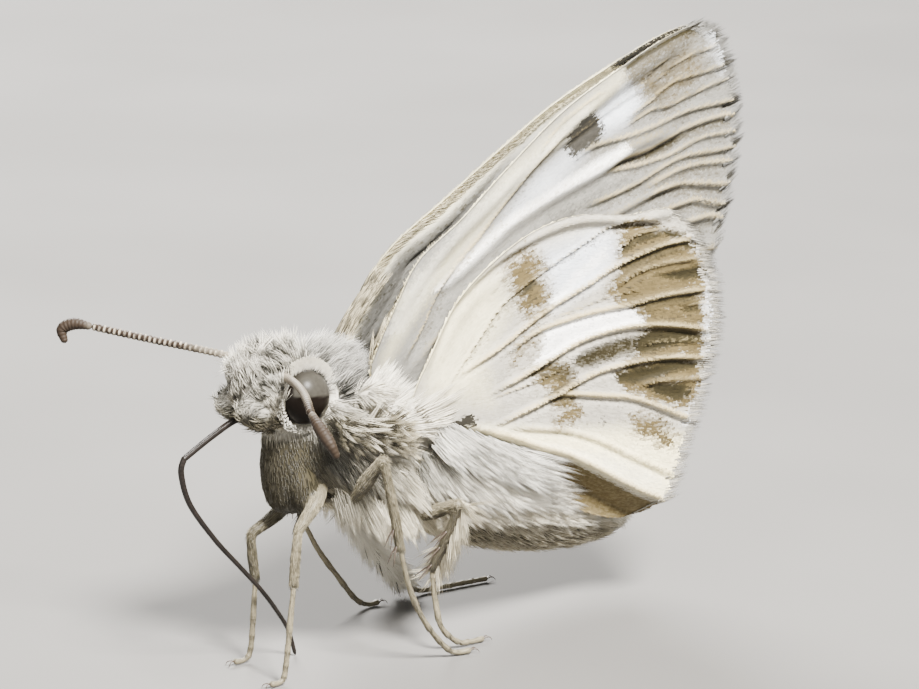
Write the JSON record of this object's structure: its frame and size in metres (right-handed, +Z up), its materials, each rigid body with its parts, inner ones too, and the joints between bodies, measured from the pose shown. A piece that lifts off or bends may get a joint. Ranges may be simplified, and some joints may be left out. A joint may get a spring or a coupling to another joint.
{
  "type": "white skipper butterfly",
  "caption": "Life-size still model of a small white skipper butterfly standing with closed wings and its proboscis lowered.",
  "frame": {"origin": "floor under the middle of the model's box", "axes": "+Z up, the head faces -Y, the animal's left side is +X"},
  "size_m": [0.0124, 0.0234, 0.0191],
  "materials": {
    "coat": "long hair-like scales, pale blue-grey white, cream and olive in the shade",
    "wing": "white scales with tan bands, cream veins and olive folds",
    "eye": "smooth dark brown, glossy",
    "leg": "cream scales, satin",
    "feeler": "dark with narrow white rings",
    "club": "dark brown, satin",
    "tongue": "dark brown, slightly glossy"
  },
  "bodies": {
    "root": {"head": "coat", "palp_left": "coat", "palp_right": "coat", "collar": "coat", "thorax": "coat", "abdomen": "coat", "tegula_left": "coat", "tegula_right": "coat", "eye_left": "eye", "eye_right": "eye", "forewing_left": "wing", "forewing_right": "wing", "hindwing_left": "wing", "hindwing_right": "wing", "antenna_left_shaft": "feeler", "antenna_left_club": "club", "antenna_right_shaft": "feeler", "antenna_right_club": "club", "proboscis_root": "tongue", "proboscis_tip": "tongue", "fore_left_femur": "leg", "fore_left_tibia": "leg", "fore_left_tarsus": "leg", "fore_right_femur": "leg", "fore_right_tibia": "leg", "fore_right_tarsus": "leg", "mid_left_femur": "leg", "mid_left_tibia": "leg", "mid_left_tarsus": "leg", "mid_right_femur": "leg", "mid_right_tibia": "leg", "mid_right_tarsus": "leg", "hind_left_femur": "leg", "hind_left_tibia": "leg", "hind_left_tarsus": "leg", "hind_right_femur": "leg", "hind_right_tibia": "leg", "hind_right_tarsus": "leg"}
  },
  "joints": []
}
